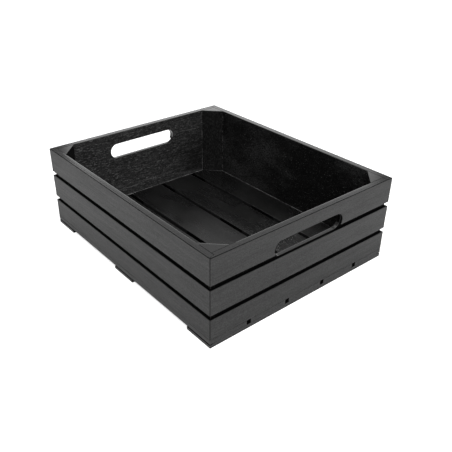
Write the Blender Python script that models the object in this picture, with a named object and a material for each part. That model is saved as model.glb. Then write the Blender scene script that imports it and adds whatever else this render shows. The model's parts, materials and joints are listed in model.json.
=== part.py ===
"""Slatted wooden crate: a low open box for carrying and showing goods.

Four walls stand on a planked floor, and the floor rests on three battens. Each wall is a thin
full-height panel with three slats glued on its outside, mitred at the corners. A triangular post
stiffens each inside corner, and both short walls have a handle slot.

Frame: metres, +Z up, origin at the middle of the underside. X runs across the crate and Y along
it, with one handle wall at -Y and the other at +Y. Nothing on the crate moves.
"""

import math

import bmesh
import bpy

# Overall size
CRATE_WIDTH = 0.290
CRATE_LENGTH = 0.350
CRATE_HEIGHT = 0.115

# Clearance that every piece keeps to the one beneath it or outside it
GAP = 0.0003

# Base: battens across, planks along
BATTEN_THICKNESS = 0.005
BATTEN_WIDTH = 0.0415
FLOOR_TOP = 0.0112
PLANK_COUNT = 5
PLANK_PITCH = 0.0600
PLANK_SPACING = 0.006
FIRST_PLANK_WIDTH = 0.0527

# Walls: slats outside, a panel inside
SLAT_THICKNESS = 0.003
WALL_THICKNESS = 0.008
TOP_SLAT_HEIGHT = 0.03355
MIDDLE_SLAT_HEIGHT = 0.03195
SLAT_SPACING = 0.006
SLAT_NAMES = ("top", "middle", "bottom")

# Handle slots, with half-round ends, starting a little above the top edge of the middle slat
HANDLE_LENGTH = 0.111
HANDLE_HEIGHT = 0.0216
HANDLE_RISE = 0.0012
HANDLE_ARC_STEPS = 20

# Corner posts: right-angled triangles in plan, with their two sharp edges blunted
POST_LEG = 0.024
POST_BLUNTING = 0.0005

# Nails, driven upwards from under the battens
NAIL_SHANK_RADIUS = 0.0007
NAIL_HEAD_RADIUS = 0.0015
NAIL_HEAD_HEIGHT = 0.0005
NAIL_POINT_LENGTH = 0.0015
NAIL_RECESS = 0.0004
NAIL_SIDES = 12
NAIL_STAGGER = 0.010
FLOOR_NAIL_LENGTH = 0.0093
CORNER_NAIL_LENGTH = 0.025

# Worked out from the sizes above
WALL_BOTTOM = FLOOR_TOP + GAP
MITRE_INSET = GAP / math.sqrt(2)
POST_CENTROID = POST_LEG / 3


def clear_scene():
    for obj in list(bpy.data.objects):
        bpy.data.objects.remove(obj, do_unlink=True)


def paint(name, colour, roughness, metallic=0.0):
    """A Principled BSDF material with one colour."""
    material = bpy.data.materials.new(name)
    material.use_nodes = True
    shader = material.node_tree.nodes["Principled BSDF"]
    shader.inputs["Base Color"].default_value = (*colour, 1.0)
    shader.inputs["Roughness"].default_value = roughness
    shader.inputs["Metallic"].default_value = metallic
    return material


def slat_stain():
    """Black satin stain on smooth planed slats."""
    return paint("slat_stain", (0.034, 0.034, 0.034), 0.42)


def panel_stain():
    """Black stain soaked into rougher thin panels."""
    return paint("panel_stain", (0.014, 0.014, 0.014), 0.62)


def floor_stain():
    return paint("floor_stain", (0.018, 0.018, 0.018), 0.48)


def post_stain():
    return paint("post_stain", (0.016, 0.016, 0.016), 0.55)


def batten_stain():
    return paint("batten_stain", (0.026, 0.026, 0.026), 0.5)


def nail_steel():
    return paint("nail_steel", (0.32, 0.31, 0.30), 0.35, metallic=1.0)


def new_object(name, bm, material, parent=None):
    """Turn a bmesh into a named object, with its faces pointing out."""
    bmesh.ops.recalc_face_normals(bm, faces=bm.faces[:])
    mesh = bpy.data.meshes.new(name)
    bm.to_mesh(mesh)
    bm.free()
    if material:
        mesh.materials.append(material)
    obj = bpy.data.objects.new(name, mesh)
    bpy.context.collection.objects.link(obj)
    obj.parent = parent
    return obj


def new_empty(name, location, angle, parent=None):
    """A frame for other pieces, turned about +Z."""
    empty = bpy.data.objects.new(name, None)
    bpy.context.collection.objects.link(empty)
    empty.location = location
    empty.rotation_euler = (0.0, 0.0, angle)
    empty.parent = parent
    return empty


def extruded(outline, direction):
    """A closed prism: a flat outline of 3-D points, carried along a direction."""
    bm = bmesh.new()
    face = bm.faces.new([bm.verts.new(point) for point in outline])
    swept = bmesh.ops.extrude_face_region(bm, geom=[face])
    moved = [item for item in swept["geom"] if isinstance(item, bmesh.types.BMVert)]
    bmesh.ops.translate(bm, verts=moved, vec=direction)
    return bm


def upright(outline, bottom, top):
    """A closed prism that stands on a plan outline of (x, y) points."""
    return extruded([(x, y, bottom) for x, y in outline], (0.0, 0.0, top - bottom))


def rectangle(x_low, x_high, y_low, y_high):
    return [(x_low, y_low), (x_high, y_low), (x_high, y_high), (x_low, y_high)]


def subtract(obj, cutter):
    """Cut one object by another, which then stays as a hidden guide."""
    boolean = obj.modifiers.new("cut_" + cutter.name, "BOOLEAN")
    boolean.operation = "DIFFERENCE"
    boolean.solver = "EXACT"
    boolean.object = cutter


def hide_cutter(obj):
    obj.hide_render = True
    obj.display_type = "WIRE"


def slat_levels():
    """Bottom and top of each slat, from the rim down; the lowest takes what height is left."""
    middle_top = CRATE_HEIGHT - TOP_SLAT_HEIGHT - SLAT_SPACING
    bottom_top = middle_top - MIDDLE_SLAT_HEIGHT - SLAT_SPACING
    tops = (CRATE_HEIGHT, middle_top, bottom_top)
    bottoms = (CRATE_HEIGHT - TOP_SLAT_HEIGHT, middle_top - MIDDLE_SLAT_HEIGHT, WALL_BOTTOM)
    return list(zip(SLAT_NAMES, bottoms, tops))


def slat_outline(span):
    """Plan of one mitred slat: x along the wall, y into it from the outer face."""
    outer = span / 2 - MITRE_INSET
    inner = outer - SLAT_THICKNESS
    return [(-outer, 0.0), (outer, 0.0), (inner, SLAT_THICKNESS), (-inner, SLAT_THICKNESS)]


def panel_outline(half_span):
    return rectangle(-half_span, half_span, SLAT_THICKNESS + GAP, WALL_THICKNESS)


def handle_cutter(name, parent):
    """The space of a handle slot: a stadium standing in the wall, carried right through it."""
    radius = HANDLE_HEIGHT / 2
    arc_centre = HANDLE_LENGTH / 2 - radius
    slot_bottom = CRATE_HEIGHT - TOP_SLAT_HEIGHT - SLAT_SPACING + HANDLE_RISE
    centre_z = slot_bottom + radius
    outline = []
    for side, start in ((1, -math.pi / 2), (-1, math.pi / 2)):
        for step in range(HANDLE_ARC_STEPS + 1):
            angle = start + math.pi * step / HANDLE_ARC_STEPS
            x = side * arc_centre + radius * math.cos(angle)
            z = centre_z + radius * math.sin(angle)
            outline.append((x, -WALL_THICKNESS, z))
    bm = extruded(outline, (0.0, 3 * WALL_THICKNESS, 0.0))
    cutter = new_object(name, bm, None, parent)
    hide_cutter(cutter)
    return cutter


def build_wall(side, span, panel_half_span, place, angle, crate, stains):
    """One wall: three slats over a panel. The wall's frame has x along it and y into it."""
    frame = new_empty(side + "_wall", place, angle, crate)
    slats = {}
    for name, bottom, top in slat_levels():
        bm = upright(slat_outline(span), bottom, top)
        slats[name] = new_object(f"{side}_slat_{name}", bm, stains["slat"], frame)
    bm = upright(panel_outline(panel_half_span), WALL_BOTTOM, CRATE_HEIGHT)
    panel = new_object(side + "_panel", bm, stains["panel"], frame)
    return frame, slats, panel


def build_handle_wall(side, place, angle, crate, stains):
    """A short wall, with a handle slot through its panel and its top slat."""
    half_span = CRATE_WIDTH / 2 - WALL_THICKNESS - GAP
    frame, slats, panel = build_wall(side, CRATE_WIDTH, half_span, place, angle, crate, stains)
    cutter = handle_cutter(side + "_handle_cutter", frame)
    subtract(slats["top"], cutter)
    subtract(panel, cutter)


def build_long_wall(side, place, angle, crate, stains):
    half_span = CRATE_LENGTH / 2 - SLAT_THICKNESS - GAP
    build_wall(side, CRATE_LENGTH, half_span, place, angle, crate, stains)


def build_walls(crate, stains):
    half_width = CRATE_WIDTH / 2
    half_length = CRATE_LENGTH / 2
    quarter = math.pi / 2
    build_handle_wall("front", (0.0, -half_length, 0.0), 0.0, crate, stains)
    build_handle_wall("back", (0.0, half_length, 0.0), 2 * quarter, crate, stains)
    build_long_wall("right", (half_width, 0.0, 0.0), quarter, crate, stains)
    build_long_wall("left", (-half_width, 0.0, 0.0), 3 * quarter, crate, stains)


def post_outline():
    """Plan of a post: its right angle faces the wall corner, which is the post's origin."""
    tip = GAP + POST_BLUNTING
    return [(GAP, GAP), (POST_LEG, GAP), (POST_LEG, tip), (tip, POST_LEG), (GAP, POST_LEG)]


def build_posts(crate, material):
    """Four posts, each turned so that its legs lie along its own two walls."""
    inner_x = CRATE_WIDTH / 2 - WALL_THICKNESS
    inner_y = CRATE_LENGTH / 2 - WALL_THICKNESS
    corners = {
        "front_left": (-inner_x, -inner_y, 0.0),
        "front_right": (inner_x, -inner_y, math.pi / 2),
        "back_right": (inner_x, inner_y, math.pi),
        "back_left": (-inner_x, inner_y, -math.pi / 2),
    }
    posts = []
    for name, (x, y, angle) in corners.items():
        bm = upright(post_outline(), WALL_BOTTOM, CRATE_HEIGHT)
        post = new_object("corner_post_" + name, bm, material, crate)
        post.location = (x, y, 0.0)
        post.rotation_euler = (0.0, 0.0, angle)
        posts.append(post)
    return posts


def plank_ranges():
    """X range of each floor plank: an even pitch, with the last plank trimmed to the side."""
    ranges = []
    low = -CRATE_WIDTH / 2
    high = low + FIRST_PLANK_WIDTH
    for _ in range(PLANK_COUNT):
        ranges.append((low, min(high, CRATE_WIDTH / 2)))
        low = high + PLANK_SPACING
        high += PLANK_PITCH
    return ranges


def build_planks(crate, material):
    half_length = CRATE_LENGTH / 2
    planks = []
    for number, (low, high) in enumerate(plank_ranges(), start=1):
        outline = rectangle(low, high, -half_length, half_length)
        bm = upright(outline, BATTEN_THICKNESS + GAP, FLOOR_TOP)
        planks.append(new_object(f"floor_plank_{number}", bm, material, crate))
    return planks


def batten_centres():
    """Y of each batten: one flush with each end and one in the middle."""
    end = (CRATE_LENGTH - BATTEN_WIDTH) / 2
    return {"front": -end, "middle": 0.0, "back": end}


def build_battens(crate, material):
    half_width = CRATE_WIDTH / 2
    half_batten = BATTEN_WIDTH / 2
    battens = []
    for name, centre in batten_centres().items():
        outline = rectangle(-half_width, half_width, -half_batten, half_batten)
        bm = upright(outline, 0.0, BATTEN_THICKNESS)
        batten = new_object("base_batten_" + name, bm, material, crate)
        batten.location.y = centre
        battens.append(batten)
    return battens


def nail_profile(length, allowance):
    """Radius and height along a nail, from its head up; allowance fattens it into its hole."""
    head = NAIL_HEAD_RADIUS + allowance
    shank = NAIL_SHANK_RADIUS + allowance
    neck = NAIL_HEAD_HEIGHT + allowance
    end = length + allowance
    start = -NAIL_RECESS - GAP if allowance else 0.0
    return [(head, start), (head, neck), (shank, neck), (shank, end - NAIL_POINT_LENGTH)], end


def add_nail(bm, centre, length, allowance):
    """Turn a nail's profile about a vertical axis at centre and close it with a flat and a point."""
    profile, end = nail_profile(length, allowance)
    rings = []
    for radius, height in profile:
        ring = []
        for side in range(NAIL_SIDES):
            angle = 2 * math.pi * side / NAIL_SIDES
            x = centre[0] + radius * math.cos(angle)
            y = centre[1] + radius * math.sin(angle)
            ring.append(bm.verts.new((x, y, centre[2] + height)))
        rings.append(ring)
    point = bm.verts.new((centre[0], centre[1], centre[2] + end))
    bm.faces.new(rings[0])
    for side in range(NAIL_SIDES):
        following = (side + 1) % NAIL_SIDES
        for below, above in zip(rings, rings[1:]):
            bm.faces.new((below[side], below[following], above[following], above[side]))
        bm.faces.new((rings[-1][side], rings[-1][following], point))


def corner_nail_place(x, y):
    """Under the middle of the corner post that is nearest to (x, y)."""
    post_x = CRATE_WIDTH / 2 - WALL_THICKNESS - POST_CENTROID
    post_y = CRATE_LENGTH / 2 - WALL_THICKNESS - POST_CENTROID
    return math.copysign(post_x, x), math.copysign(post_y, y)


def nail_schedule():
    """Name, place and length of each nail: one where each plank crosses each batten.

    The four at the corners run up into the posts. The others are staggered either side of the
    batten's middle line, so that they don't split it.
    """
    schedule = []
    ranges = plank_ranges()
    for batten, centre in batten_centres().items():
        for number, (low, high) in enumerate(ranges, start=1):
            x = (low + high) / 2
            y = centre + (NAIL_STAGGER if number % 2 else -NAIL_STAGGER)
            length = FLOOR_NAIL_LENGTH
            if number in (1, len(ranges)) and batten != "middle":
                x, y = corner_nail_place(x, y)
                length = CORNER_NAIL_LENGTH
            schedule.append((f"nail_{batten}_{number}", (x, y, NAIL_RECESS), length))
    return schedule


def build_nails(crate, material):
    for name, centre, length in nail_schedule():
        bm = bmesh.new()
        add_nail(bm, (0.0, 0.0, 0.0), length, 0.0)
        nail = new_object(name, bm, material, crate)
        nail.location = centre
        nail.data.shade_smooth()
        nail.data.set_sharp_from_angle(angle=math.radians(40))


def nail_hole_cutter(crate):
    """Every nail's clearance hole, in one guide."""
    bm = bmesh.new()
    for _, centre, length in nail_schedule():
        add_nail(bm, centre, length, GAP)
    cutter = new_object("nail_hole_cutter", bm, None, crate)
    hide_cutter(cutter)
    return cutter


def build_crate():
    clear_scene()
    crate = new_empty("crate", (0.0, 0.0, 0.0), 0.0)
    stains = {"slat": slat_stain(), "panel": panel_stain()}
    build_walls(crate, stains)
    nailed = build_posts(crate, post_stain())
    nailed += build_planks(crate, floor_stain())
    nailed += build_battens(crate, batten_stain())
    holes = nail_hole_cutter(crate)
    for piece in nailed:
        subtract(piece, holes)
    build_nails(crate, nail_steel())


build_crate()
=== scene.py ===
# Looks of the slatted wooden crate: its detailed pieces, stained wood, camera and studio.
import json
import math
import random

import bmesh
import bpy
from mathutils import Matrix, Vector, noise


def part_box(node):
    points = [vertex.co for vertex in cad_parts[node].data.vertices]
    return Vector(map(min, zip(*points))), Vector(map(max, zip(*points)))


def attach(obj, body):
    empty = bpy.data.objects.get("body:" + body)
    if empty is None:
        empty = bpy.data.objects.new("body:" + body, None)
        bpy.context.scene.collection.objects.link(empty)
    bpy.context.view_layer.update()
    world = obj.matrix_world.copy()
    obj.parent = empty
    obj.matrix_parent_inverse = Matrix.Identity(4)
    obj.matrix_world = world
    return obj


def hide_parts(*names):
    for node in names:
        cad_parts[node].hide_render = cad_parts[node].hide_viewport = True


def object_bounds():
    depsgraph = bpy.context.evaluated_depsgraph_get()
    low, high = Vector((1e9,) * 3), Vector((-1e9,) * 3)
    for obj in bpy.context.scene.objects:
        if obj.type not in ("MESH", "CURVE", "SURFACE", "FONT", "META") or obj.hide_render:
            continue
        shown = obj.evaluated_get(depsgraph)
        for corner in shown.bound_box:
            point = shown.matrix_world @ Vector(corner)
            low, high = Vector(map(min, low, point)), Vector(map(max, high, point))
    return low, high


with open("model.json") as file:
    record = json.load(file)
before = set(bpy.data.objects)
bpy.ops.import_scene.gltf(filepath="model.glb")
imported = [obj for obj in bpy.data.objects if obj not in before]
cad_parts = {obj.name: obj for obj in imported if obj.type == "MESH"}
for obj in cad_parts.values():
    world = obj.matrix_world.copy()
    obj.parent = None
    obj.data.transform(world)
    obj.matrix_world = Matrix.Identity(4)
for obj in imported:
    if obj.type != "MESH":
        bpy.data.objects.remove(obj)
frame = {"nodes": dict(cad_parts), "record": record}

CAD_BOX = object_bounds()
BODY = "root"
MM = 0.001

# ---------------------------------------- pieces: measures, in metres
WALL_ANGLES = {"front": 0.0, "right": 90.0, "back": 180.0, "left": 270.0}
SLATS = ("top", "middle", "bottom")
HANDLE_WALLS = ("front", "back")
EDGE_STEP = 8.0 * MM          # spacing of points along a straight edge
FADE = 0.6 * MM               # how far beside an eased edge its wear dies away
ARC_STEPS = 4                 # steps round each eased edge
CORNER_STEPS = 4              # steps round each corner of an outline
SHARP_TURN = math.cos(math.radians(35))
GLUE_LINE = 0.1 * MM          # how far a glued board stays from its neighbour
WOBBLE = 0.04 * MM            # unevenness of hand-sanded edges
WOBBLE_SCALE = 55.0           # waves of unevenness per metre
SLOT_ARC_STEPS = 18
WELD = 1e-6
NO_KNOT = (9.0, 9.0)          # a knot so far away that it doesn't show
NODE_SLOTS = {
    "_slat_": "slat_stain",
    "_panel": "panel_stain",
    "corner_post": "post_stain",
    "floor_plank": "floor_stain",
    "base_batten": "batten_stain",
}


# ---------------------------------------- outlines
def inward(start, end):
    """Unit normal on the left of the way from start to end, which is the material's side."""
    along = (end - start).normalized()
    return Vector((-along.y, along.x))


def inset_ring(outline, inset, corner_radius, wobble):
    """The outline moved into the material by inset, with an arc in place of each sharp corner."""
    ring = []
    for index, point in enumerate(outline):
        before = inward(outline[index - 1], point)
        after = inward(point, outline[(index + 1) % len(outline)])
        towards = (before + after) / (1 + before.dot(after))
        moved = point + towards * wobble(point)
        if before.dot(after) > SHARP_TURN:
            ring.append(moved + towards * inset)
            continue
        for step in range(CORNER_STEPS + 1):
            if inset >= corner_radius:
                ring.append(moved + towards * inset)
                continue
            out = -before.lerp(after, step / CORNER_STEPS).normalized()
            ring.append(moved + towards * corner_radius + out * (corner_radius - inset))
    return ring


def subdivided(outline):
    """The outline with extra points, so that no straight stretch is longer than EDGE_STEP."""
    points = []
    for index, start in enumerate(outline):
        end = outline[(index + 1) % len(outline)]
        count = max(1, round((end - start).length / EDGE_STEP))
        points += [start.lerp(end, step / count) for step in range(count)]
    return points


def rectangle(low_a, high_a, low_b, high_b):
    corners = ((low_a, low_b), (high_a, low_b), (high_a, high_b), (low_a, high_b))
    return subdivided([Vector(corner) for corner in corners])


def arc(centre, radius, start, end, steps):
    """Points on an arc from one angle to another, both included."""
    angles = [start + (end - start) * step / steps for step in range(steps + 1)]
    return [centre + radius * Vector((math.cos(angle), math.sin(angle))) for angle in angles]


# ---------------------------------------- solids
# A board's surfaces, in the order of its materials: its faces, the eased edge round its outer face,
# its sides, the eased edge round its inner face, sides painted dark as shade, and its outer face.
FACE, ARRIS, SIDE, INNER_ARRIS, SHADED_SIDE, OUTER_FACE = range(6)

# How sanding has let a surface fall towards its edge: distances from the edge and falls.
ROLL = ((1.3 * MM, 0.0), (0.8 * MM, 0.03 * MM), (0.45 * MM, 0.07 * MM), (0.3 * MM, 0.10 * MM))


def fall_at(distance):
    """How far a rolled surface has fallen at a distance from its edge."""
    for (far, far_fall), (near, near_fall) in zip(ROLL, ROLL[1:]):
        if distance > far:
            return far_fall
        if distance > near:
            return far_fall + (near_fall - far_fall) * (far - distance) / (far - near)
    return ROLL[-1][1]


def edge_profile(thickness, outer_radius, inner_radius, fade=FADE, rolled=False):
    """(inset, depth, finish, wear) round a board's edge, from its outer face to its inner one.

    The finish is that of the strip which ends at the point. Wear is full on the two eased edges
    and dies away on both sides of them. A rolled side falls gently towards its inner edge.
    """
    profile = [(outer_radius + fade, 0.0, FACE, 0.0)]
    for step in range(ARC_STEPS + 1):
        angle = math.pi / 2 * step / ARC_STEPS
        inset = outer_radius * (1 - math.sin(angle))
        profile.append((inset, outer_radius * (1 - math.cos(angle)), ARRIS, 1.0))
    profile.append((0.0, outer_radius + fade, ARRIS, 0.0))
    roll = ROLL[:-1] if rolled else ((inner_radius + fade, 0.0),)
    profile += [(fall, thickness - distance, SIDE, 0.0) for distance, fall in roll]
    fallen = ROLL[-1][1] if rolled else 0.0
    for step in range(ARC_STEPS, -1, -1):
        angle = math.pi / 2 * step / ARC_STEPS
        inset = fallen + inner_radius * (1 - math.sin(angle))
        depth = thickness - inner_radius * (1 - math.cos(angle))
        profile.append((inset, depth, INNER_ARRIS, 1.0))
    profile.append((fallen + inner_radius + fade, thickness, FACE, 0.0))
    return profile


def join_rings(bm, near, far):
    """The faces between two rings that have as many vertices."""
    faces = []
    for side in range(len(near)):
        after = (side + 1) % len(near)
        faces.append(bm.faces.new((near[side], near[after], far[after], far[side])))
    return faces


class Plate:
    """A board under construction: a flat outline given thickness, with every edge eased.

    Points are (a, b, depth): a and b in the plane of the board, depth from its outer face. Each
    point carries what the materials read: its place along and across the grain, how far it is
    worn as an edge, its place from the board's knot, and its board's own tone.
    """

    def __init__(self, name, grain, shift=None, knot=NO_KNOT):
        self.name = name
        self.bm = bmesh.new()
        layers = self.bm.verts.layers
        self.grain_layer = layers.float_vector.new("grain")
        self.edge_layer = layers.float.new("edge")
        self.tone_layer = layers.float.new("tone")
        self.knot_layer = layers.float_vector.new("knot")
        self.knot = Vector((*knot, 0.0))
        self.grain = grain
        self.shift = shift or (lambda a, b, depth: (a, b, depth))
        chance = random.Random(name)
        self.tone = chance.uniform(-1.0, 1.0)
        self.origin = Vector([chance.uniform(0.0, 40.0) for _ in range(3)])
        self.wave = chance.uniform(0.0, 100.0)
        self.outlines = 0

    def wobble(self, point):
        """How far an uneven edge has been sanded back at a point: never outwards."""
        place = Vector((point.x * WOBBLE_SCALE, point.y * WOBBLE_SCALE, self.wave))
        return WOBBLE * (0.5 + 0.5 * noise.noise(place))

    def vertex(self, a, b, depth, edge):
        a, b, depth = self.shift(a, b, depth)
        vert = self.bm.verts.new((a, b, depth))
        local = Vector((a, b, depth))
        ordered = [local[index] for index in self.grain]
        vert[self.grain_layer] = self.origin + Vector(ordered)
        vert[self.edge_layer] = edge
        vert[self.tone_layer] = self.tone
        vert[self.knot_layer] = local - self.knot
        return vert

    def rim(self, outline, profile, corner_radius):
        """The eased edge along one closed outline, from the outer face to the inner one."""
        self.outlines += 1
        rings = []
        for inset, depth, _, wear in profile:
            flat = inset_ring(outline, inset, corner_radius, self.wobble)
            rings.append([self.vertex(point.x, point.y, depth, wear) for point in flat])
        for near, far, (_, _, finish, _) in zip(rings, rings[1:], profile[1:]):
            for face in join_rings(self.bm, near, far):
                face.material_index = finish

    def close(self):
        """Fill the two flat faces, leaving any hole that goes through the board."""
        bmesh.ops.remove_doubles(self.bm, verts=self.bm.verts[:], dist=WELD)
        faces = {}
        for edge in self.bm.edges:
            if edge.is_boundary:
                depth = round(edge.verts[0].co.z, 6)
                faces.setdefault(depth, []).append(edge)
        for edges in faces.values():
            if self.outlines == 1:
                bmesh.ops.contextual_create(self.bm, geom=edges)
            else:
                bmesh.ops.triangle_fill(self.bm, use_beauty=True, edges=edges)
        self.outlines = 0

    def finish(self, place, stains, surface_at=lambda surface, middle: surface):
        """Close the board, put it in its place, turn its faces outwards and make it a piece.

        Stains are the materials by surface, and surface_at can give a part of a surface the
        finish of another.
        """
        if self.outlines:
            self.close()
        for face in self.bm.faces:
            if all(abs(vert.co.z) < WELD for vert in face.verts):
                face.material_index = OUTER_FACE
            face.material_index = surface_at(face.material_index, face.calc_center_median())
        plain = stains[FACE]
        materials = [stains.get(surface, plain) for surface in range(OUTER_FACE + 1)]
        self.bm.transform(place)
        bmesh.ops.recalc_face_normals(self.bm, faces=self.bm.faces[:])
        make_look(self.name, self.bm, materials, slot_of_node(self.name))


def slot_of_node(node):
    """The record's material slot for a CAD node."""
    for part, slot in NODE_SLOTS.items():
        if part in node:
            return slot
    raise ValueError(node)


def add_object(name, data):
    thing = bpy.data.objects.new(name, data)
    bpy.context.scene.collection.objects.link(thing)
    return thing


def mesh_object(name, bm, materials):
    mesh = bpy.data.meshes.new(name)
    bm.to_mesh(mesh)
    bm.free()
    for material in materials:
        mesh.materials.append(material)
    return add_object(name, mesh)


def make_piece(name, bm, materials):
    """A visible piece that rides on the crate."""
    piece = mesh_object(name, bm, materials)
    piece.data.shade_smooth()
    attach(piece, BODY)
    return piece


def make_look(node, bm, materials, slot):
    """A visible piece that stands for the CAD node it is named after."""
    piece = make_piece("look_" + node, bm, materials)
    normals = piece.modifiers.new("even_shading", "WEIGHTED_NORMAL")
    normals.mode = "FACE_AREA"
    normals.weight = 100
    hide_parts(node)


def plate_frame(origin, along, across, deep):
    """Matrix from a plate's own (a, b, depth) to the crate's frame."""
    matrix = Matrix((along, across, deep)).transposed().to_4x4()
    matrix.translation = origin
    return matrix


def simple_plate(name, grain, outline, profile, corner_radius, place, stains, *surface_at, **options):
    """A board with one outline and no holes."""
    plate = Plate(name, grain, **options)
    plate.rim(outline, profile, corner_radius)
    plate.finish(place, stains, *surface_at)


# ---------------------------------------- walls
ALONG_GRAIN = (0, 1, 2)       # grain along a
ACROSS_GRAIN = (1, 0, 2)      # grain along b
DEEP_GRAIN = (2, 0, 1)        # grain along the depth, as in a post


def wall_frame(side):
    """A wall's own frame: a along it, b up, depth in from its outer face."""
    turn = Matrix.Rotation(math.radians(WALL_ANGLES[side]), 3, "Z")
    along, deep = turn @ Vector((1, 0, 0)), turn @ Vector((0, 1, 0))
    low, high = CAD_BOX
    reach = (high.x - low.x) / 2 if side in ("left", "right") else (high.y - low.y) / 2
    return plate_frame(-deep * reach, along, (0, 0, 1), deep)


def extent(node, frame_matrix):
    """Lowest and highest corner of a CAD node in a frame that is square to the crate's."""
    inverse = frame_matrix.inverted()
    corners = [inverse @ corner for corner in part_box(node)]
    low = Vector([min(corner[axis] for corner in corners) for axis in range(3)])
    high = Vector([max(corner[axis] for corner in corners) for axis in range(3)])
    return low, high


def mitre(half):
    """Shears a slat's two ends to 45 degrees, shorter towards its inner face."""
    zone = half - EDGE_STEP / 2

    def shift(a, b, depth):
        if abs(a) > zone:
            a -= math.copysign(depth, a)
        return a, b, depth

    return shift


SLAT_EASE = 0.3 * MM
SLAT_BACK_EASE = 0.12 * MM
SLAT_CORNER = 0.15 * MM
CORNER_LINE = 0.35 * MM       # how far the dark line reaches from a slat's mitred end
PANEL_EASE = 0.3 * MM
PANEL_BACK_EASE = 0.12 * MM
PANEL_CORNER = 0.3 * MM
PANEL_SWELL = 0.2 * MM        # the panel meets the posts, with no more than a glue line between
HANDLE_HALF_LENGTH = 55.5 * MM
HANDLE_RISE = 1.2 * MM        # how far a handle slot starts above the middle slat
# How far below its centre a slot's side starts to be polished, at both ends, in slot radii;
# above that the side is painted black as shade
SLOT_POLISH = {"front": (0.99, 0.45), "back": (-1.0, -1.0)}
# Knots in the panels, in their walls' own frames
KNOTS = {"back": (-0.088, 0.098), "front": (0.071, 0.036)}


def slat_outline(low, high, slot):
    """A slat's face; the top slat of a handle wall has the slot's upper part cut from below."""
    if slot is None:
        return rectangle(low.x, high.x, low.y, high.y)
    centre, radius, half_straight = slot
    dip = math.asin((centre - low.y) / radius)
    steps = round(SLOT_ARC_STEPS * (math.pi / 2 + dip) / math.pi)
    left = arc(Vector((-half_straight, centre)), radius, math.pi + dip, math.pi / 2, steps)
    right = arc(Vector((half_straight, centre)), radius, math.pi / 2, -dip, steps)
    corners = [Vector((low.x, low.y))] + left + right
    corners += [Vector((high.x, low.y)), Vector((high.x, high.y)), Vector((low.x, high.y))]
    return subdivided(corners)


def stadium(centre, radius, half_straight):
    """A handle slot's outline, clockwise, so that the material is on its left."""
    quarter = math.pi / 2
    right = arc(Vector((half_straight, centre)), radius, quarter, -quarter, SLOT_ARC_STEPS)
    left = arc(Vector((-half_straight, centre)), radius, -quarter, -3 * quarter, SLOT_ARC_STEPS)
    return subdivided(right + left)


def slot_of(side):
    """A wall's handle slot as centre height, radius and half its straight part, or None."""
    if side not in HANDLE_WALLS:
        return None
    openings = frame["record"]["physics"]["openings"]
    box = next(o["box_m"] for o in openings if o["name"] == f"{side}_handle_slot")
    centre = (box[0][2] + box[1][2]) / 2
    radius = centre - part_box(f"{side}_slat_middle")[1].z - HANDLE_RISE
    return centre, radius, HANDLE_HALF_LENGTH - radius


def make_slat(side, level, stains):
    """A slat. Only its upper side at the rim is polished.

    The outer edge at the rim is painted black as a painted dark reflection, and the sides in the
    grooves as shade.
    """
    name = f"{side}_slat_{level}"
    place = wall_frame(side)
    low, high = extent(name, place)
    thickness = high.z - low.z + GLUE_LINE
    slot = slot_of(side) if level == "top" else None
    outline = slat_outline(low, high, slot)
    profile = edge_profile(thickness, SLAT_EASE, SLAT_BACK_EASE)

    def surface_at(surface, middle):
        at_rim = level == "top" and middle.y > high.y - SLAT_EASE - FADE
        at_end = high.x - abs(middle.x) - middle.z < CORNER_LINE
        # Painted shade and reflection: black on the rim's outer edge and in the grooves; at mitred
        # ends the line is the joint
        if surface == ARRIS and not at_rim and not at_end:
            return FACE
        if surface in (SIDE, INNER_ARRIS) and not at_rim:
            return SHADED_SIDE
        return surface

    shape = (outline, profile, SLAT_CORNER)
    simple_plate(name, ALONG_GRAIN, *shape, place, stains, surface_at, shift=mitre(high.x))


def make_panel(side, stains):
    """A full-height inner panel, with the whole handle slot cut in it on a handle wall."""
    name = f"{side}_panel"
    place = wall_frame(side)
    low, high = extent(name, place)
    place = place @ Matrix.Translation((0, 0, low.z))
    thickness = high.z - low.z + PANEL_SWELL
    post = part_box("corner_post_front_left")[1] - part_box("left_panel")[1]
    clear = high.x - (high.z - low.z if side in HANDLE_WALLS else 0.0) - post.x

    def flat_at_posts(a, b, depth):
        """The rim has been sanded level where a post stands against the panel."""
        if abs(a) > clear and b > high.y - POST_EASE - FADE and depth < thickness - WELD:
            b += fall_at(thickness - depth)
        return a, b, depth

    plate = Plate(name, ALONG_GRAIN, flat_at_posts, KNOTS.get(side, NO_KNOT))
    profile = edge_profile(thickness, PANEL_BACK_EASE, PANEL_EASE, rolled=True)
    outline = rectangle(low.x, high.x, low.y, high.y)
    plate.rim(outline, profile, PANEL_CORNER)
    slot = slot_of(side)
    if slot:
        plate.rim(stadium(*slot), profile, PANEL_CORNER)

    def surface_at(surface, middle):
        """Only the upper side, and the foot of the slot, are polished. The other sides, the inner
        edge beside the posts and the back panel's inner edge below the rim are painted black as
        shade.
        """
        at_rim = middle.y > high.y - PANEL_EASE - FADE
        if surface == INNER_ARRIS and (abs(middle.x) > clear if at_rim else side == "back"):
            return SHADED_SIDE
        polished = at_rim
        if slot and not at_rim:
            centre, radius, _ = slot
            polished = middle.y < centre - radius * SLOT_POLISH[side][middle.x > 0]
        return SHADED_SIDE if surface == SIDE and not polished else surface

    plate.finish(place, stains, surface_at)


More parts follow.
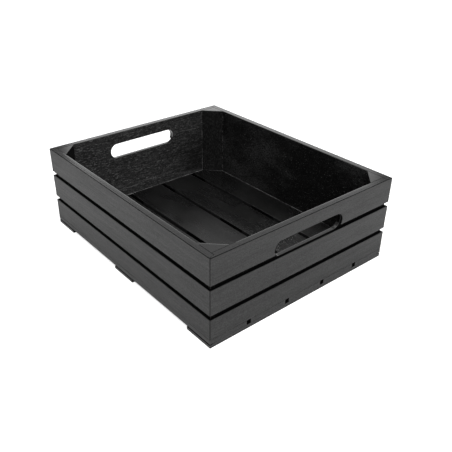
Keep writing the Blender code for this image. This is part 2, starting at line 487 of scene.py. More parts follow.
# ---------------------------------------- posts, planks, battens
POST_EASE = 0.5 * MM
POST_CORNER = 0.45 * MM
FINE_FADE = 0.1 * MM
PLANK_EASE = 0.35 * MM
PLANK_FOOT_EASE = 0.25 * MM
PLANK_KNOT = (0.08, -0.04)    # the planks' knot, beside which a pool of light is painted on them
PLANK_CORNER = 0.3 * MM
SHADED_GAPS = (-0.06, 0.0)     # x up to which the gaps' sides are painted black as shade, in the back and front halves
BATTEN_EASE = 0.12 * MM
BATTEN_FADE = 1.1 * MM        # the black painted as shadow along a batten's lower edge reaches this far up its side
BATTEN_TOP_EASE = 0.1 * MM
BATTEN_CORNER = 0.2 * MM
BATTEN_BREAK = 1.4 * MM       # how much of the upper edge is broken off at a batten's ends
BATTEN_RISE = 0.2 * MM        # the batten meets the planks, with no more than a glue line between
PLANKS = 5
STOP_LENGTH = 3.0 * MM
STOP_RECESS = 4.0 * MM        # how far a stop stands back from the crate's outer face
STOP_DROP = 1.0 * MM          # how far its top lies below the planks' top
STOP_EASE = 0.2 * MM
STOP_CLEARANCE = Vector((0.1, 0.0, 0.1)) * MM     # from the planks on both sides and the battens


def make_post(node, stains):
    """A triangular post: its plan is the outline, and its depth runs down from the rim."""
    low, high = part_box(node)
    right = low.x > 0
    back = low.y > 0
    corner = Vector((high.x if right else low.x, high.y if back else low.y, high.z))
    axes = ((-1 if right else 1, 0, 0), (0, -1 if back else 1, 0), (0, 0, -1))
    place = plate_frame(corner, *axes)
    leg_a, leg_b, height = high - low
    tip = POST_EASE
    corners = ((0, 0), (leg_a, 0), (leg_a, tip), (tip, leg_b), (0, leg_b))
    outline = [Vector(point) for point in corners]
    profile = edge_profile(height, POST_EASE / 2, POST_EASE / 2, FINE_FADE)
    plate = Plate(node, DEEP_GRAIN)
    plate.rim(outline, profile, POST_CORNER / 2)
    plate.close()
    out = Vector((1, 1, 0)).normalized()
    edge = Vector((leg_a, tip, 0)).dot(out)
    for distance, _ in ROLL:
        geometry = plate.bm.verts[:] + plate.bm.edges[:] + plate.bm.faces[:]
        bmesh.ops.bisect_plane(
            plate.bm, geom=geometry, plane_co=out * (edge - distance), plane_no=out
        )
    for vert in plate.bm.verts:
        if vert.co.z < POST_EASE:
            vert.co.z += fall_at(edge - vert.co.dot(out))
    plate.finish(place, stains, lambda surface, middle: (
        ARRIS if surface == FACE and middle.z < POST_EASE else surface
    ))


def make_plank(node, stains):
    low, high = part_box(node)
    place = plate_frame((0, 0, high.z), (1, 0, 0), (0, 1, 0), (0, 0, -1))
    outline = rectangle(low.x, high.x, low.y, high.y)
    profile = edge_profile(high.z - low.z, PLANK_EASE, PLANK_FOOT_EASE, FINE_FADE)
    outermost = CAD_BOX[1] - Vector((1, 1, 1)) * PLANK_EASE
    battens = [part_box(f"base_batten_{name}") for name in ("front", "middle", "back")]

    def surface_at(surface, middle):
        """Inside, the sides are painted black as shade over the battens and, on the left, between
        them too; the rest take a dim finish that is painted shade as well.
        """
        if abs(middle.y) > outermost.y and surface == INNER_ARRIS:
            return SIDE
        if abs(middle.x) > outermost.x or abs(middle.y) > outermost.y:
            return SIDE if surface == ARRIS else surface
        if surface == SIDE:
            # Painted shade: black over the battens, and towards the front left
            black = any(start.y < middle.y < end.y for start, end in battens)
            black = black or middle.x < SHADED_GAPS[middle.y < 0]
            return SHADED_SIDE if black else ARRIS
        return FACE if surface == ARRIS else surface

    shape = (outline, profile, PLANK_CORNER)
    simple_plate(node, ACROSS_GRAIN, *shape, place, stains, surface_at, knot=PLANK_KNOT)


def make_batten(node, stains):
    low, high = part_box(node)
    place = plate_frame((0, 0, low.z), (1, 0, 0), (0, 1, 0), (0, 0, 1))
    outline = rectangle(low.x, high.x, low.y, high.y)
    height = high.z - low.z + BATTEN_RISE
    profile = edge_profile(height, BATTEN_EASE, BATTEN_TOP_EASE, BATTEN_FADE)
    outermost = CAD_BOX[1].y - BATTEN_EASE

    def broken_end(a, b, depth):
        """The upper edge at both ends is broken, which leaves a dark line under the planks."""
        if high.x - abs(a) < BATTEN_BREAK and depth > height / 2:
            depth -= BATTEN_BREAK
        return a, b, depth

    def surface_at(surface, middle):
        """Only the crate's outer sides and the ends, short of their inner corners, aren't painted
        dark as shade. Along the outer sides' lower edge a black band is painted as shadow.
        """
        outside = abs(middle.y) > outermost
        at_corner = min(middle.y - low.y, high.y - middle.y) < BATTEN_CORNER
        inner_corner = at_corner and abs(middle.y) < outermost - BATTEN_CORNER
        at_end = high.x - abs(middle.x) < BATTEN_EASE and not inner_corner
        unbroken = middle.z < height - BATTEN_BREAK - BATTEN_TOP_EASE
        if surface == SIDE or surface == ARRIS and middle.z > BATTEN_EASE and not outside:
            return SIDE if outside or at_end else SHADED_SIDE
        if surface == INNER_ARRIS and (outside or at_end and unbroken):
            return SIDE
        return surface

    shape = (outline, profile, BATTEN_CORNER)
    simple_plate(node, ALONG_GRAIN, *shape, place, stains, surface_at, shift=broken_end)


def make_gap_shade_stops(material):
    """Small dark blocks that stand for shade: they close the ends of the gaps between the planks,
    set back a little.
    """
    low, high = CAD_BOX
    for number in range(1, PLANKS):
        _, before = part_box(f"floor_plank_{number}")
        after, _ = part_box(f"floor_plank_{number + 1}")
        size = Vector((after.x - before.x, STOP_LENGTH, before.z - after.z - STOP_DROP))
        for end, edge in (("front", low.y), ("back", high.y)):
            inwards = -math.copysign(STOP_RECESS + STOP_LENGTH / 2, edge)
            middle = ((before.x + after.x) / 2, edge + inwards, after.z + size.z / 2)
            bm = bmesh.new()
            place = Matrix.Translation(middle) @ Matrix.Diagonal((*(size - STOP_CLEARANCE), 1))
            bmesh.ops.create_cube(bm, size=1.0, matrix=place)
            bmesh.ops.bevel(
                bm, geom=bm.edges[:], offset=STOP_EASE, segments=2, profile=0.5, affect="EDGES"
            )
            make_piece(f"gap_stop_{end}_{number}", bm, [material])


# ---------------------------------------- dried glue, pale as a painted highlight
BEAD_SIDES = 6
BEAD_STEP = 1.6 * MM
FOOT_BEAD = 0.42 * MM
BACK_FOOT_SHARE = 0.6         # how much thicker the bead is at the foot of the back wall
BACK_FOOT_POWER = 8           # how suddenly it grows so towards the back
POST_BEAD = 0.30 * MM
BEAD_TOP_GAP = 2.0 * MM       # from the rim to the top of a post's beads
BEAD_WAVES = ((260.0, 0.8), (60.0, 0.9))      # waves per metre, and how far they swell it
BEAD_SHARES = (0.1, 0.75, 1.4)                # thinnest, middling and thickest
UPRIGHT = 0.9                 # how much of a direction must be upwards for it to be a post's


def bead_radius(point, radius):
    """A bead is uneven along its length, and dwindles to nothing in places."""
    thinnest, middling, thickest = BEAD_SHARES
    share = middling + sum(strength * noise.noise(point * waves) for waves, strength in BEAD_WAVES)
    back = max(0.0, point.y / CAD_BOX[1].y) ** BACK_FOOT_POWER
    return radius * min(thickest, max(thinnest, share)) * (1 + BACK_FOOT_SHARE * back)


def make_bead(name, corners, closed, radius, material):
    """A thin uneven tube of dried glue through the given corner points."""
    points = []
    for start, end in zip(corners, corners[1:] + (corners[:1] if closed else [])):
        count = max(1, round((end - start).length / BEAD_STEP))
        points += [start.lerp(end, step / count) for step in range(count)]
    if not closed:
        points.append(corners[-1])
    bm = bmesh.new()
    rings = []
    for index, point in enumerate(points):
        before = points[index - 1] if closed or index else point
        after = points[(index + 1) % len(points)] if closed or index + 1 < len(points) else point
        along = (after - before).normalized()
        side = along.orthogonal() if abs(along.z) > UPRIGHT else along.cross(Vector((0, 0, 1)))
        side.normalize()
        up = side.cross(along)
        size = bead_radius(point, radius)
        ring = []
        for turn in range(BEAD_SIDES):
            angle = 2 * math.pi * turn / BEAD_SIDES
            out = side * math.cos(angle) + up * math.sin(angle)
            ring.append(bm.verts.new(point + out * size))
        rings.append(ring)
    for near, far in zip(rings, rings[1:] + (rings[:1] if closed else [])):
        join_rings(bm, near, far)
    if not closed:
        bm.faces.new(rings[0])
        bm.faces.new(rings[-1])
    bmesh.ops.recalc_face_normals(bm, faces=bm.faces[:])
    make_piece(name, bm, [material])


def make_beads(material):
    """Glue squeezed out along the foot of the walls and down both sides of each post, pale as a
    painted highlight.
    """
    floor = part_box("floor_plank_1")[1].z
    inner = Vector((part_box("right_panel")[0].x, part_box("back_panel")[0].y))
    leg = inner.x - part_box("corner_post_back_right")[0].x
    foot = []
    for turn_x, turn_y in ((-1, -1), (1, -1), (1, 1), (-1, 1)):
        ends = [
            Vector((turn_x * (inner.x - leg), turn_y * inner.y, floor)),
            Vector((turn_x * inner.x, turn_y * (inner.y - leg), floor)),
        ]
        if turn_x * turn_y > 0:
            ends.reverse()
        foot += ends
        corner = f"{'right' if turn_x > 0 else 'left'}_{'back' if turn_y > 0 else 'front'}"
        for number, end in enumerate(ends):
            top = Vector((end.x, end.y, CAD_BOX[1].z - BEAD_TOP_GAP))
            make_bead(f"glue_highlight_post_{corner}_{number}", [end, top], False, POST_BEAD, material)
    make_bead("glue_highlight_foot", foot, True, FOOT_BEAD, material)


# ---------------------------------------- nails
NAIL_SIDES = 24
NAIL_HEAD = 0.5 * MM
NAIL_RIM = 0.15 * MM
NAIL_SHANK_SHARE = 0.47
NAIL_POINT = 1.5 * MM


def make_nail(node, material):
    """A turned nail: a flat head with a rounded rim, a shank and a point."""
    low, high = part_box(node)
    centre = (low + high) / 2
    head = (high.x - low.x) / 2
    shank = head * NAIL_SHANK_SHARE
    bend = NAIL_RIM * (1 - math.sqrt(0.5))
    profile = [
        (head - NAIL_RIM, low.z),
        (head - bend, low.z + bend),
        (head, low.z + NAIL_RIM),
        (head, low.z + NAIL_HEAD - NAIL_RIM / 2),
        (head - NAIL_RIM / 2, low.z + NAIL_HEAD),
        (shank, low.z + NAIL_HEAD),
        (shank, high.z - NAIL_POINT),
    ]
    bm = bmesh.new()
    rings = []
    for radius, height in profile:
        turns = [2 * math.pi * side / NAIL_SIDES for side in range(NAIL_SIDES)]
        outs = [Vector((math.cos(turn), math.sin(turn), 0)) * radius for turn in turns]
        middle = Vector((centre.x, centre.y, height))
        rings.append([bm.verts.new(middle + out) for out in outs])
    bm.faces.new(rings[0])
    for near, far in zip(rings, rings[1:]):
        join_rings(bm, near, far)
    point = bm.verts.new((centre.x, centre.y, high.z))
    for start, end in zip(rings[-1], rings[-1][1:] + rings[-1][:1]):
        bm.faces.new((start, end, point))
    bmesh.ops.recalc_face_normals(bm, faces=bm.faces[:])
    make_look(node, bm, [material], "nail_steel")


# ---------------------------------------- materials
class Shading:
    """Short calls for building one material's node tree."""

    def __init__(self, name):
        self.material = bpy.data.materials.new("look_" + name)
        self.material.use_nodes = True
        self.tree = self.material.node_tree
        self.shader = self.tree.nodes["Principled BSDF"]

    def add(self, kind, inputs=None, **settings):
        node = self.tree.nodes.new("ShaderNode" + kind)
        for key, value in settings.items():
            setattr(node, key, value)
        for key, value in (inputs or {}).items():
            self.set(node.inputs[key], value)
        return node

    def set(self, socket, value):
        if isinstance(value, bpy.types.NodeSocket):
            self.tree.links.new(value, socket)
        else:
            socket.default_value = value

    def put(self, name, value):
        """Give the shader's socket of that name a value or a link."""
        self.set(self.shader.inputs[name], value)

    def attribute(self, name, output):
        return self.add("Attribute", attribute_name=name).outputs[output]

    def math(self, operation, first, second=0.0, clamp=False):
        node = self.add("Math", {0: first, 1: second}, operation=operation, use_clamp=clamp)
        return node.outputs[0]

    def vector(self, operation, *values):
        node = self.add("VectorMath", dict(enumerate(values)), operation=operation)
        return node.outputs["Value" if operation in ("LENGTH", "DISTANCE") else "Vector"]

    def times_plus(self, value, factor, term):
        inputs = {0: value, 1: factor, 2: term}
        return self.add("Math", inputs, operation="MULTIPLY_ADD").outputs[0]

    def bell(self, vector):
        """A vector's length, and a hill: 1 where that is 0, and nothing from about 2 on."""
        length = self.vector("LENGTH", vector)
        square = self.math("MULTIPLY", length, length)
        return length, self.math("POWER", math.e, self.math("MULTIPLY", square, -1.0))

    def noise(self, vector, scale, detail=3.0, roughness=0.55):
        """Noise whose features are 1/scale metres along, across and into the grain."""
        place = self.vector("MULTIPLY", vector, scale)
        inputs = {"Vector": place, "Scale": 1.0, "Detail": detail, "Roughness": roughness}
        return self.add("TexNoise", inputs).outputs["Fac"]

    def ramp(self, value, low, high, out_low=0.0, out_high=1.0):
        sockets = ("Value", "From Min", "From Max", "To Min", "To Max")
        inputs = dict(zip(sockets, (value, low, high, out_low, out_high)))
        return self.add("MapRange", inputs).outputs[0]

    def set_relief(self, height, strength):
        bump = self.add("Bump", {"Height": height, "Distance": MM, "Strength": strength})
        self.put("Normal", bump.outputs["Normal"])

    def blend(self, factor, first, second):
        node = self.add("Mix", {0: factor}, data_type="RGBA")
        self.set(node.inputs[6], first)
        self.set(node.inputs[7], second)
        return node.outputs[2]


def grey(value):
    return (value, value, value, 1.0)


def stained_wood(name, look):
    """Black-stained wood whose grain follows each board.

    Fibres, growth bands, short dashes of raised grain, pores, clouds, grit and specks vary the
    stain, the gloss and the relief. Worn edges have a tone of their own.
    """
    s = Shading(name)
    place = s.attribute("grain", "Vector")
    edge = s.attribute("edge", "Fac")
    tone = s.attribute("tone", "Fac")
    knot_place = s.attribute("knot", "Vector")

    def feature(kind, vector, lowest=0.0):
        detail, roughness, start, full = FEATURES[kind]
        return s.ramp(s.noise(vector, look[kind], detail, roughness), start, full, lowest)

    # The grain drifts slowly, and parts round a knot
    bend = 0.0
    for scale, share in DRIFTS:
        drift = s.math("SUBTRACT", s.noise(place, scale, DRIFT_DETAIL), NOISE_MEAN)
        bend = s.math("ADD", bend, s.math("MULTIPLY", drift, look["waviness"] * share))
    from_knot = s.vector("MULTIPLY", knot_place, (1 / KNOT_SIZE[0], 1 / KNOT_SIZE[1], 0))
    reach, near_knot = s.bell(from_knot)
    height = s.add("SeparateXYZ", {0: knot_place}).outputs["Y"]
    parting = s.math("MULTIPLY", s.math("MULTIPLY", near_knot, height), -KNOT_PUSH)
    across = s.math("ADD", bend, parting)
    offset = s.add("CombineXYZ", {"X": 0.0, "Y": across, "Z": bend}).outputs[0]
    flow = s.vector("ADD", place, offset)
    heart = s.ramp(reach, *HEART_RANGE)

    fibre = feature("fibre", flow)
    band = feature("band", flow)
    pore = feature("pore", flow)
    dash = feature("dash", flow)
    ring = s.math("SUBTRACT", s.noise(flow, look["ring"], *RING_NOISE), NOISE_MEAN)
    ring = s.ramp(s.math("ABSOLUTE", ring), RING_WIDTH, 0.0)
    cloud = s.noise(place, look["cloud"], look["cloud_detail"], CLOUD_ROUGHNESS)
    cloud = s.ramp(cloud, *CLOUD_RANGE)
    speck = feature("speck", place)
    grit = feature("grit", place, -1.0)

    raised = s.math("MAXIMUM", dash, s.math("MULTIPLY", ring, look["rings"]))
    raised = s.math("MULTIPLY", raised, s.math("SUBTRACT", 1.0, heart))
    share = s.times_plus(fibre, FIBRE_SHARE, s.math("MULTIPLY", band, 1 - FIBRE_SHARE))
    colour = s.blend(share, grey(look["dark"]), grey(look["light"]))
    layers = (
        (pore, look["pores"], look["dark"] * PORE_SHADE),
        (raised, look["dashes"], look["dash_tone"]),
        (heart, look["dashes"], look["heart_tone"]),
        (cloud, look["clouds"], look["cloud_tone"]),
        (speck, look["specks"], look["speck_tone"]),
    )
    for cover, strength, shade in layers:
        colour = s.blend(s.math("MULTIPLY", cover, strength), colour, grey(shade))
    board = s.times_plus(tone, look["tone"], 1.0)
    board = s.math("MULTIPLY", board, s.times_plus(grit, look["grittiness"], 1.0))
    # A patch beside the knot: darker on the panels, and on the floor a painted pool of light
    if look["patch_and_light_pool"]:
        away = s.vector("SUBTRACT", knot_place, PATCH_PLACE)
        away = s.vector("MULTIPLY", away, (1 / PATCH_REACH, 1 / PATCH_REACH, 0))
        darker = s.times_plus(s.bell(away)[1], -look["patch_and_light_pool"], 1.0)
        board = s.math("MULTIPLY", board, darker)
    colour = s.add("VectorMath", {0: colour, 3: board}, operation="SCALE").outputs[0]
    rubbed = s.math("MULTIPLY", s.math("MULTIPLY", edge, feature("rub", place)), look["edges"])
    colour = s.blend(rubbed, colour, grey(look["edge_tone"]))
    s.put("Base Color", colour)

    gloss = s.times_plus(fibre, -look["gloss_span"], look["roughness"] + look["gloss_span"] / 2)
    gloss = s.times_plus(pore, look["pore_dulling"], gloss)
    gloss = s.times_plus(s.math("SUBTRACT", cloud, NOISE_MEAN), look["haze"], gloss)
    s.put("Roughness", s.math("ADD", gloss, 0.0, clamp=True))
    s.put("Specular IOR Level", look["specular"])

    relief = s.math("MULTIPLY", fibre, look["fibre_relief"])
    relief = s.times_plus(band, look["band_relief"], relief)
    relief = s.times_plus(pore, -look["pore_relief"], relief)
    relief = s.times_plus(raised, look["dash_relief"], relief)
    relief = s.times_plus(grit, look["grit_relief"], relief)
    s.set_relief(relief, 1.0)
    return s.material


# A feature's noise: its detail and roughness, and the values at which the feature starts and is full
FEATURES = {
    "fibre": (5.0, 0.62, 0.32, 0.68),
    "band": (2.0, 0.5, 0.3, 0.7),
    "pore": (2.0, 0.5, 0.60, 0.70),
    "dash": (2.0, 0.6, 0.53, 0.66),
    "speck": (1.0, 0.55, 0.66, 0.74),
    "grit": (2.0, 0.6, 0.40, 0.60),
    "rub": (3.0, 0.55, 0.35, 0.6),
}
NOISE_MEAN = 0.5
CLOUD_ROUGHNESS = 0.6
CLOUD_RANGE = (0.45, 0.72)
RING_NOISE = (1.0, 0.4)       # detail and roughness
RING_WIDTH = 0.012            # how far from its mean the noise of the growth rings draws a line
FIBRE_SHARE = 0.65            # how much of the stain's variation is fibre, the rest being bands
PORE_SHADE = 0.3              # a pore's tone, as a share of the darkest stain
DRIFTS = (((9.0, 40.0, 40.0), 1.0), ((55.0, 160.0, 160.0), 0.25))      # scales, and shares
DRIFT_DETAIL = 2.0
KNOT_SIZE = (9.0 * MM, 6.5 * MM)
KNOT_PUSH = 0.75
HEART_RANGE = (0.75, 0.35)    # how far out a knot's heart starts and is full, in knot sizes
PATCH_PLACE = (-0.020, -0.060, 0.0)       # middle of the patch, and of the floor's painted pool of light, from the knot
PATCH_REACH = 0.052
# Reliefs are in millimetres and waviness in metres. Features have scales: how many of them there
# are in a metre along, across and into the grain. The patch beside a knot is darker, or lighter if
# negative, as the floor's painted pool of light.
PLANED = dict(
    dark=0.0185, light=0.0335, fibre=(22.0, 900.0, 900.0), band=(3.0, 110.0, 110.0),
    pore=(150.0, 2400.0, 2400.0), dash=(260.0, 900.0, 900.0), ring=(2.5, 70.0, 70.0),
    cloud=(14.0, 26.0, 26.0), cloud_detail=4.0, grit=(650.0, 650.0, 650.0),
    speck=(1300.0, 1300.0, 1300.0), rub=(90.0, 300.0, 300.0), waviness=0.0022, pores=0.3,
    dashes=0.0, dash_tone=0.05, rings=0.0, heart_tone=0.02, patch_and_light_pool=0.0, clouds=0.0,
    cloud_tone=0.02, specks=0.25, speck_tone=0.06, grittiness=0.24, tone=0.04, edges=0.6,
    edge_tone=0.045, roughness=0.54, gloss_span=0.08, pore_dulling=0.12, haze=0.05, specular=0.2,
    fibre_relief=0.010, band_relief=0.004, pore_relief=0.01, dash_relief=0.0, grit_relief=0.004,
)
MATT = dict(PLANED, roughness=0.7, specular=0.12, fibre_relief=0.06)
DULL_BLACK = dict(MATT, dark=0.001, light=0.002, specular=0.03, specks=0.0, edges=0.0)
DUSTY = dict(speck=(850.0, 850.0, 850.0), specks=0.9)
POLISHED = dict(
    PLANED, dark=0.006, light=0.013, roughness=0.13, gloss_span=0.04, specular=0.5,
    grittiness=0.1, fibre_relief=0.003, band_relief=0.0, pore_relief=0.002, grit_relief=0.0005,
)
LOOKS = {
    "slat_stain": PLANED,
    "panel_stain": dict(
        MATT, dark=0.013, light=0.033, fibre=(45.0, 520.0, 520.0), dash=(140.0, 850.0, 850.0),
        waviness=0.007, dashes=0.8, dash_tone=0.112, rings=0.9, heart_tone=0.05, patch_and_light_pool=0.7,
        dash_relief=0.16, clouds=0.2, cloud_tone=0.04, grittiness=0.5, grit_relief=0.03,
    ),
    # The side panels: the panel wood painted much darker, as shade
    "side_panel_stain": dict(
        MATT, dark=0.001, light=0.003, fibre=(60.0, 500.0, 500.0), waviness=0.006, dashes=0.3,
        dash_tone=0.015, cloud=(9.0, 17.0, 17.0), clouds=0.9, cloud_tone=0.026, **DUSTY,
        speck_tone=0.07, grittiness=1.0, grit=(700.0, 700.0, 700.0), grit_relief=0.04,
    ),
    # Black edges: the dark joint line at mitres, and painted shade on the rim's outer edge and the
    # lower edges
    "joint_and_shade_stain": dict(DULL_BLACK, dark=0.003, light=0.005),
    # The gaps' sides between the battens: the plank wood painted darker, as shade
    "gap_shade_stain": dict(DULL_BLACK, dark=0.009, light=0.016),
    "cut_edge_stain": POLISHED,
    "end_grain_stain": dict(POLISHED, roughness=0.14, specks=0.6),
    # Near black painted where there is shade: grooves, hidden sides, batten tops and the gaps' ends
    "painted_shade_stain": DULL_BLACK,
    "floor_stain": dict(
        PLANED, dark=0.001, light=0.007, fibre=(14.0, 480.0, 480.0), patch_and_light_pool=-5.2,
        roughness=0.33, haze=0.14, cloud=(13.0, 22.0, 22.0), cloud_detail=1.0, specular=0.5,
        **DUSTY, speck_tone=0.055, clouds=0.3, cloud_tone=0.008, grittiness=0.7,
        grit=(500.0, 900.0, 900.0), grit_relief=0.003, fibre_relief=0.004, band_relief=0.002,
        pore_relief=0.001, gloss_span=0.03, pore_dulling=0.03,
    ),
    "post_stain": dict(
        MATT, dark=0.004, light=0.010, roughness=0.55, **DUSTY, dashes=0.4, dash_tone=0.02,
        fibre_relief=0.03, grittiness=0.9, grit=(260.0, 850.0, 850.0), grit_relief=0.05,
    ),
    "batten_stain": dict(PLANED, fibre_relief=0.03),
}
# Dried glue and nail steel: their noise, where it starts and is full, and what it mixes
FINE = (900.0, 900.0, 900.0)
CRUMB_RANGE = (0.4, 0.6)
# The glue's pale tone is a painted highlight along the junctions
GLUE_HIGHLIGHT_TONES = (0.04, 0.19)
GLUE_ROUGHNESS = (0.4, 0.6)
GLUE_RELIEF = 0.1
GRIME_RANGE = (0.4, 0.65)
STEEL_TONES = (0.42, 0.13)
SCRATCHES = (6000.0, 900.0, 900.0)
SCRATCH_RANGE = (0.3, 0.7)
STEEL_ROUGHNESS = (0.25, 0.5)
STEEL_RELIEF = 0.02


def glue_and_highlight():
    """Dried glue that has taken a little of the stain; its pale tone is a painted highlight."""
    s = Shading("glue_and_highlight")
    place = s.add("NewGeometry").outputs["Position"]
    crumb = s.ramp(s.noise(place, FINE), *CRUMB_RANGE)
    s.put("Base Color", s.blend(crumb, *map(grey, GLUE_HIGHLIGHT_TONES)))
    s.put("Roughness", s.ramp(crumb, 0.0, 1.0, *GLUE_ROUGHNESS))
    s.set_relief(crumb, GLUE_RELIEF)
    return s.material


def nail_steel():
    """Drawn steel with turning marks and a little grime."""
    s = Shading("nail_steel")
    place = s.add("TexCoord").outputs["Object"]
    grime = s.ramp(s.noise(place, FINE, 4.0), *GRIME_RANGE)
    scratch = s.noise(place, SCRATCHES)
    s.put("Base Color", s.blend(grime, *map(grey, STEEL_TONES)))
    s.put("Roughness", s.ramp(scratch, *SCRATCH_RANGE, *STEEL_ROUGHNESS))
    s.put("Metallic", 1.0)
    s.set_relief(scratch, STEEL_RELIEF)
    return s.material


# ---------------------------------------- camera
CAMERA_PLACE = (-0.4409, -0.5439, 0.4293)
CAMERA_AZIMUTH = -39.364
CAMERA_ELEVATION = 31.110
CAMERA_ROLL = 0.2955
CAMERA_LENS = 46.66
CAMERA_SENSOR = 36.0
CAMERA_SHIFT = (0.0234, 0.0170)
CAMERA_CLIP = (0.01, 100.0)


def make_camera():
    data = bpy.data.cameras.new("camera")
    data.sensor_width = CAMERA_SENSOR
    data.lens = CAMERA_LENS
    data.shift_x, data.shift_y = CAMERA_SHIFT
    data.clip_start, data.clip_end = CAMERA_CLIP
    camera = add_object("camera", data)
    azimuth, elevation = math.radians(CAMERA_AZIMUTH), math.radians(CAMERA_ELEVATION)
    turn = Matrix.Rotation(azimuth, 4, "Z") @ Matrix.Rotation(math.pi / 2 - elevation, 4, "X")
    roll = Matrix.Rotation(math.radians(CAMERA_ROLL), 4, "Z")
    camera.matrix_world = Matrix.Translation(CAMERA_PLACE) @ turn @ roll
    bpy.context.scene.camera = camera


# ---------------------------------------- studio
FLOOR_SIZE = 30.0
FLOOR_TONE = 0.85
FLOOR_ROUGHNESS = 0.9
UNDER_SHADOW_TONE = 0.02             # the floor painted dark beneath the crate, as shadow, where nothing shows but gaps
FLOOR_GLOW = 0.88             # light that comes up through the floor, away from the crate
GLOW_START = 0.075            # metres from the crate over which the glow comes up
GLOW_REACH = (0.03, 0.28)     # and metres from its near corner over which it grows to full
GLOW_WANING = (0.33, 0.55)    # and over which it wanes again
GLOW_FAR = 0.5                # to this share
FOOT_GLOW = 0.31              # the least glow outside the crate's foot
EDGE_GLOW = 0.60              # the glow just inside the crate's edge
FOOT_REACH = (-0.012, -0.009)  # where that starts and is full, outwards from the outer faces
EDGE_REACH = (0.0, 0.006)     # and where it sinks to the foot's
# Surroundings: an even dim room, a wide soft light low down behind the crate and one overhead.
# A light's spread is the pair of angles at which it starts to fade and is gone.
ROOM = 0.28
BACK_LIGHT = 1.15
BACK_LIGHT_AZIMUTH = 40.3     # from +Y towards +X
BACK_LIGHT_SPREAD = (15.4, 16.5)
BACK_LIGHT_HEIGHT = (18.0, 30.0)
BACK_WALL = 0.42              # and a dimmer screen above it
BACK_WALL_HEIGHT = (36.0, 46.0)
TOP_LIGHT = 1.8
TOP_LIGHT_SPREAD = (25.0, 42.0)
# A square lamp high on the left, before the crate
KEY_PLACE = (-1.34, -2.14, 2.27)
KEY_SIZE = 1.2
KEY_POWER = 60.0


def make_floor():
    """A pale floor that glows all round the crate, but is painted dark beneath it, as shadow."""
    s = Shading("studio_floor")
    s.put("Roughness", FLOOR_ROUGHNESS)
    s.put("Specular IOR Level", 0.0)
    low, high = CAD_BOX
    place = s.add("NewGeometry").outputs["Position"]
    folded = s.vector("ABSOLUTE", place)
    past = s.vector("SUBTRACT", folded, (high.x, high.y, 0))
    distance = s.vector("LENGTH", s.vector("MAXIMUM", past, (0, 0, 0)))
    outside = s.ramp(distance, 0.0, GLOW_START)
    from_corner = s.vector("DISTANCE", place, (low.x, low.y, 0))
    growth = s.ramp(from_corner, *GLOW_REACH, 0.0, FLOOR_GLOW)
    growth.node.interpolation_type = "SMOOTHSTEP"
    waning = s.ramp(from_corner, *GLOW_WANING, 1.0, GLOW_FAR)
    glow = s.math("MULTIPLY", s.math("MULTIPLY", outside, growth), waning)
    sides = s.add("SeparateXYZ", {0: past})
    beyond = s.math("MAXIMUM", sides.outputs["X"], sides.outputs["Y"])
    foot = s.ramp(beyond, *FOOT_REACH, 0.0, EDGE_GLOW)
    foot = s.math("MINIMUM", foot, s.ramp(beyond, *EDGE_REACH, EDGE_GLOW, FOOT_GLOW))
    # Painted shadow: the floor's colour turns dark beneath the crate
    under = s.ramp(beyond, *FOOT_REACH)
    s.put("Base Color", s.blend(under, grey(UNDER_SHADOW_TONE), grey(FLOOR_TONE)))
    s.put("Emission Color", grey(1.0))
    s.put("Emission Strength", s.math("MAXIMUM", glow, foot))
    bm = bmesh.new()
    bmesh.ops.create_grid(bm, x_segments=1, y_segments=1, size=FLOOR_SIZE / 2)
    floor = mesh_object("studio_floor", bm, [s.material])


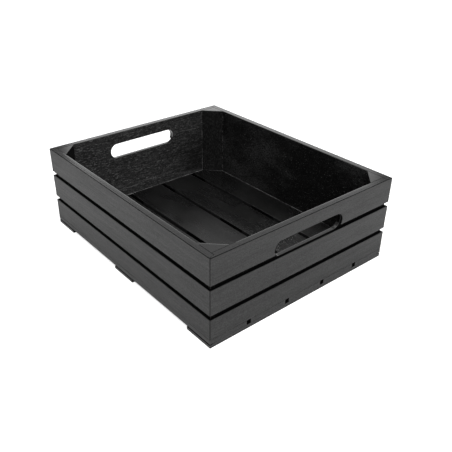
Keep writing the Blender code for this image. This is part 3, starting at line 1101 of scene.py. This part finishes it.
def make_world():
    """The surroundings, as light against the direction it comes from."""
    world = bpy.data.worlds.new("studio")
    world.use_nodes = True
    tree = world.node_tree

    def add(kind, operation, *values):
        node = tree.nodes.new("ShaderNode" + kind)
        node.operation = operation
        for socket, value in zip(node.inputs, values):
            if isinstance(value, bpy.types.NodeSocket):
                tree.links.new(value, socket)
            else:
                socket.default_value = value
        plain = kind == "Math" or operation == "DOT_PRODUCT"
        return node.outputs["Value" if plain else "Vector"]

    def fading(value, gone, full, strength):
        fade = tree.nodes.new("ShaderNodeMapRange")
        fade.interpolation_type = "SMOOTHERSTEP"
        for socket, limit in zip(fade.inputs[1:5], (gone, full, 0.0, strength)):
            socket.default_value = limit
        tree.links.new(value, fade.inputs[0])
        return fade.outputs[0]

    def cosines(spread):
        return [math.cos(math.radians(angle)) for angle in reversed(spread)]

    def sines(heights):
        return [math.sin(math.radians(angle)) for angle in reversed(heights)]

    direction = tree.nodes.new("ShaderNodeTexCoord").outputs["Generated"]
    azimuth = math.radians(BACK_LIGHT_AZIMUTH)
    level = add("VectorMath", "MULTIPLY", direction, (1, 1, 0))
    level = add("VectorMath", "NORMALIZE", level)
    towards = add("VectorMath", "DOT_PRODUCT", level, (math.sin(azimuth), math.cos(azimuth), 0))
    height = add("VectorMath", "DOT_PRODUCT", direction, (0, 0, 1))
    across = fading(towards, *cosines(BACK_LIGHT_SPREAD), 1.0)
    light = fading(height, *sines(BACK_LIGHT_HEIGHT), BACK_LIGHT)
    screen = fading(height, *sines(BACK_WALL_HEIGHT), BACK_WALL)
    back = add("Math", "MULTIPLY", across, add("Math", "ADD", light, screen))
    top = fading(height, *cosines(TOP_LIGHT_SPREAD), TOP_LIGHT)
    total = add("Math", "ADD", add("Math", "ADD", back, top), ROOM)
    tree.links.new(total, tree.nodes["Background"].inputs["Strength"])
    tree.nodes["Background"].inputs["Color"].default_value = grey(1.0)
    bpy.context.scene.world = world


def make_key_light():
    """A square area lamp that faces the middle of the crate."""
    data = bpy.data.lights.new("key_light", "AREA")
    data.shape = "SQUARE"
    data.size = KEY_SIZE
    data.energy = KEY_POWER
    lamp = add_object("key_light", data)
    low, high = CAD_BOX
    turn = (Vector(KEY_PLACE) - (low + high) / 2).to_track_quat("Z", "Y").to_matrix().to_4x4()
    lamp.matrix_world = Matrix.Translation(KEY_PLACE) @ turn


def make_studio():
    make_world()
    make_floor()
    make_key_light()
    bpy.context.scene.view_settings.view_transform = "Standard"


# ---------------------------------------- the crate
def make_crate():
    stains = {name: stained_wood(name, look) for name, look in LOOKS.items()}
    # Near black stands for shade; the black edges are painted shade too, save at mitres, where they
    # are joints
    cut, dark, joint_and_shade = (stains[name + "_stain"] for name in ("cut_edge", "painted_shade", "joint_and_shade"))
    edges = {ARRIS: joint_and_shade, SIDE: cut, SHADED_SIDE: dark}
    slat_stains = {**edges, FACE: stains["slat_stain"], INNER_ARRIS: cut}
    for side in WALL_ANGLES:
        for level in SLATS:
            make_slat(side, level, slat_stains)
        # The side walls' panels take a copy of the panel wood painted darker as shade
        face = "panel_stain" if side in HANDLE_WALLS else "side_panel_stain"
        inside = {FACE: stains[face], INNER_ARRIS: cut, ARRIS: cut}
        # The panel's outer face, seen only in the grooves, is painted near black as shade
        make_panel(side, {**edges, **inside, OUTER_FACE: dark})
    steel = nail_steel()
    for node in sorted(frame["nodes"]):
        if node.startswith("corner_post_"):
            top = stains["end_grain_stain"]
            make_post(node, {FACE: stains["post_stain"], OUTER_FACE: top, ARRIS: top})
        if node.startswith("floor_plank_"):
            make_plank(node, {
                FACE: stains["floor_stain"],
                ARRIS: stains["gap_shade_stain"],
                SIDE: stains["slat_stain"],
                INNER_ARRIS: joint_and_shade,
                SHADED_SIDE: dark,
            })
        if node.startswith("base_batten_"):
            make_batten(node, {
                FACE: dark,
                ARRIS: joint_and_shade,
                SIDE: stains["batten_stain"],
                SHADED_SIDE: dark,
                OUTER_FACE: stains["batten_stain"],
            })
        if node.startswith("nail_"):
            make_nail(node, steel)
    make_gap_shade_stops(dark)
    make_beads(glue_and_highlight())


make_camera()
make_crate()
make_studio()
